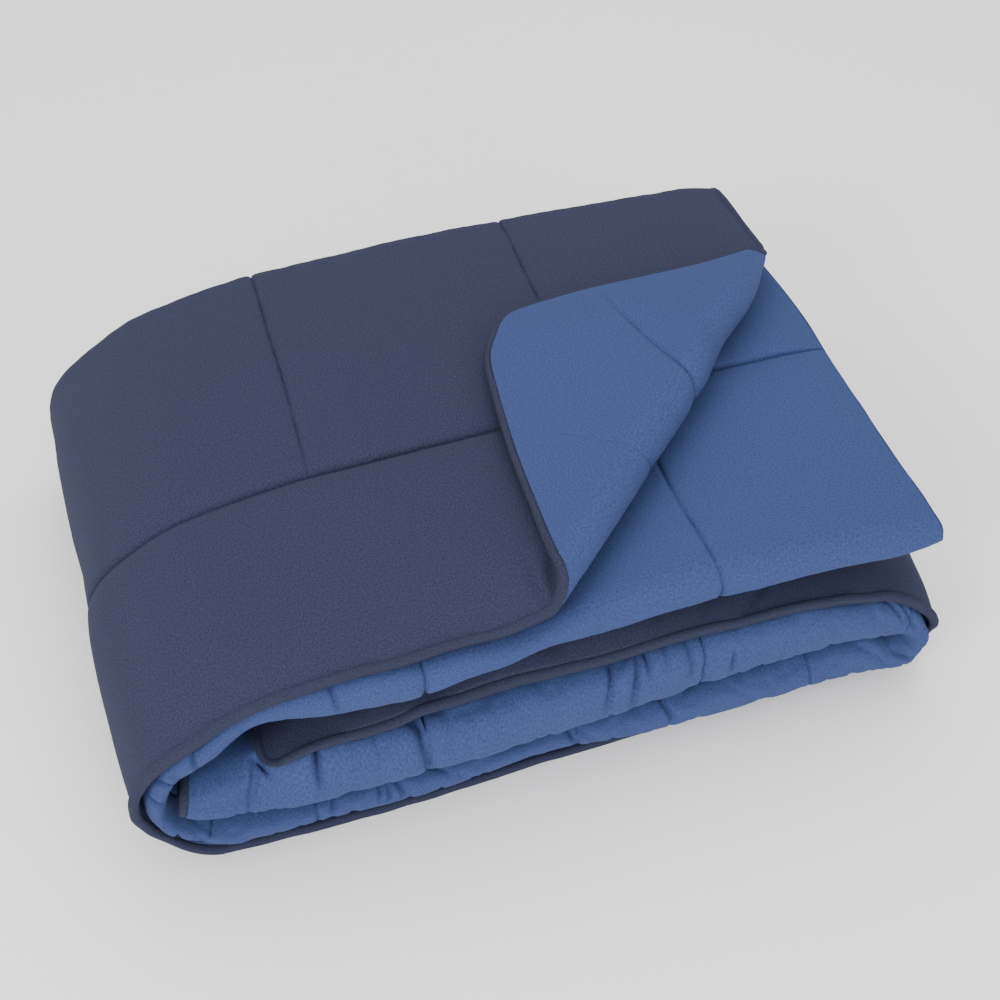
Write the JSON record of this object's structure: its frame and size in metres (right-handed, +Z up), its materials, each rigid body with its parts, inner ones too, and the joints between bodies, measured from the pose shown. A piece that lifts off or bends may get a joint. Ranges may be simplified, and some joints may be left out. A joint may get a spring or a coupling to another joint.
{
  "type": "folded quilt",
  "caption": "Padded quilt folded into a neat stack with its front corner turned back, navy on one side and blue on the other, with a bound edge.",
  "frame": {"origin": "on the surface the stack rests on, under the middle of its footprint", "axes": "+Z up, +Y from the front of the stack, where the fold ends show, to its back, +X along the stack's long side towards the turned-back corner"},
  "size_m": [0.755, 0.509, 0.2678],
  "materials": {
    "face_cotton": "brushed navy cotton, matt",
    "reverse_cotton": "brushed mid blue cotton, matt",
    "binding_tape": "plain woven grey-navy tape, matt"
  },
  "bodies": {
    "root": {"face_panel": "face_cotton", "reverse_panel": "reverse_cotton", "edge_binding": "binding_tape"}
  },
  "joints": []
}
